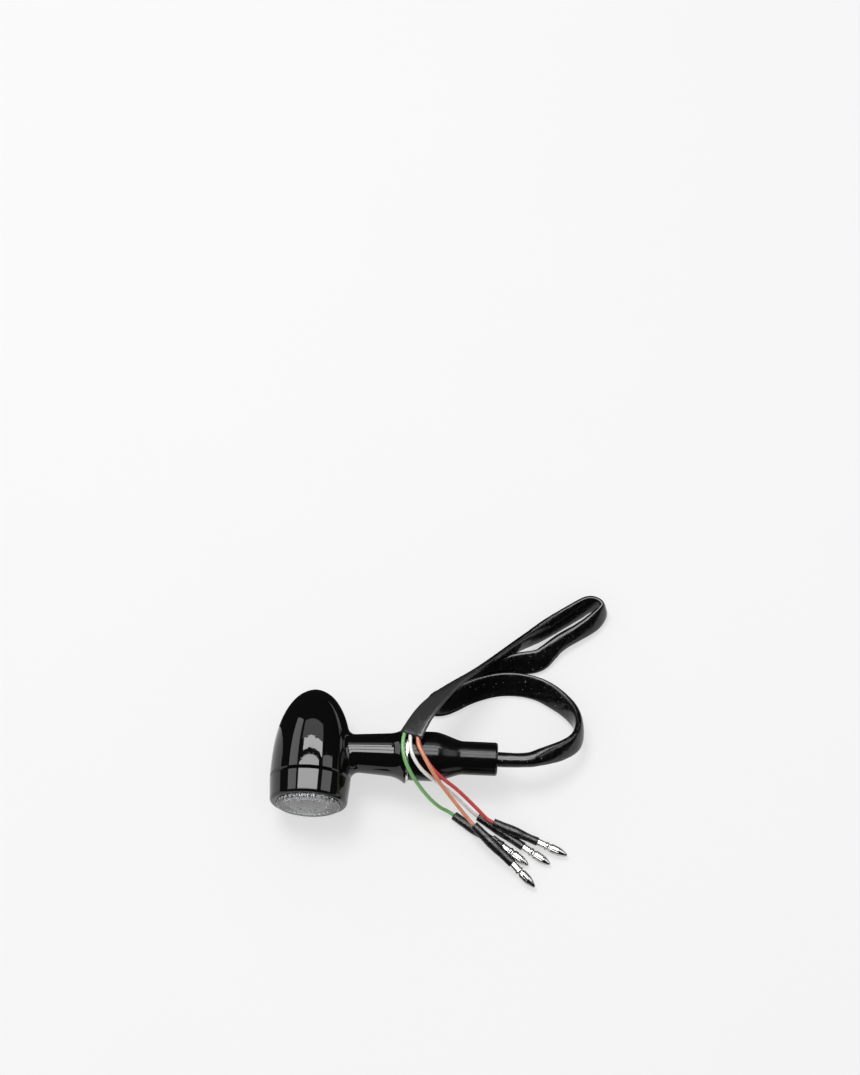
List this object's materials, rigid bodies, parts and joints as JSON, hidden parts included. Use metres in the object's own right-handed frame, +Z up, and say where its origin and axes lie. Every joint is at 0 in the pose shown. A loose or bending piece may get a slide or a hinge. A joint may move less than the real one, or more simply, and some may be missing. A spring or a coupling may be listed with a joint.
{
  "type": "turn signal indicator",
  "caption": "Bullet-shaped LED turn signal on a short flared stem, with a threaded hollow stud, nut, rubber boot and a sleeved lead ending in coloured wires with bullet plugs.",
  "frame": {"origin": "centre of the stem's seat face, on the stud's axis", "axes": "+X along the stud away from the lamp head, -Y the way the lens faces, +Z up as the unit lies on its side"},
  "size_m": [0.1456, 0.128, 0.034],
  "materials": {
    "gloss_black": "high gloss black coating",
    "black_ring": "high gloss black coating",
    "clear_lens": "clear moulded, prism rim",
    "seal_rubber": "matt",
    "bright_reflector": "bright vacuum coating",
    "board_green": "solder mask",
    "amber_lamp": "lamp resin",
    "red_lamp": "lamp resin",
    "aluminium": "turned",
    "steel": "bright zinc plate",
    "component_black": "moulded",
    "lead_insulation": "soft insulation",
    "boot_rubber": "smooth, slightly glossy",
    "sleeving": "glossy soft PVC",
    "green_insulation": "soft PVC",
    "white_insulation": "soft PVC",
    "orange_insulation": "soft PVC",
    "red_insulation": "soft PVC",
    "shrink_black": "heat-shrink tubing",
    "tinned": "bright tin plate over brass"
  },
  "bodies": {
    "signal": {"housing": "gloss_black", "reflector": "bright_reflector", "led_board": "board_green", "amber_leds": "amber_lamp", "red_leds": "red_lamp", "heat_sink": "aluminium", "board_screws": "steel", "board_spacers": "aluminium", "driver_board": "board_green", "driver_parts": "component_black", "inner_leads": "lead_insulation", "lead_seal": "seal_rubber", "mount_stud": "steel", "washer": "steel", "cable_sleeve": "sleeving", "green_wire": "green_insulation", "green_crimp_sleeve": "shrink_black", "green_plug": "tinned", "white_wire": "white_insulation", "white_crimp_sleeve": "shrink_black", "white_plug": "tinned", "orange_wire": "orange_insulation", "orange_crimp_sleeve": "shrink_black", "orange_plug": "tinned", "red_wire": "red_insulation", "red_crimp_sleeve": "shrink_black", "red_plug": "tinned"},
    "lens_unit": {"lens": "clear_lens", "lens_seal": "seal_rubber"},
    "ring": {"trim_ring": "black_ring"},
    "lock_washer": {"spring_washer": "steel"},
    "nut": {"hex_nut": "steel"},
    "boot": {"boot": "boot_rubber"}
  },
  "joints": [
    {"name": "lens_travel", "type": "slide", "parent": "signal", "child": "lens_unit", "axis": [0, -1, 0], "range_m": [0, 0.0041]},
    {"name": "ring_turn", "type": "hinge", "parent": "lens_unit", "child": "ring", "pos_m": [-0.04, -0.018, 0], "axis": [0, -1, 0], "range_deg": [0, 1440]},
    {"name": "lock_washer_travel", "type": "slide", "parent": "signal", "child": "lock_washer", "axis": [1, 0, 0], "range_m": [0, 0.0038]},
    {"name": "nut_turn", "type": "hinge", "parent": "lock_washer", "child": "nut", "pos_m": [0.00625, 0, 0], "axis": [1, 0, 0], "range_deg": [0, 1080]},
    {"name": "boot_slide", "type": "slide", "parent": "signal", "child": "boot", "axis": [1, 0, 0], "range_m": [0, 0.012]}
  ],
  "couplings": [
    {"joint": "lens_travel", "follows": "ring_turn", "m_per_rad": 0.00015915},
    {"joint": "lock_washer_travel", "follows": "nut_turn", "m_per_rad": 0.00019894}
  ]
}
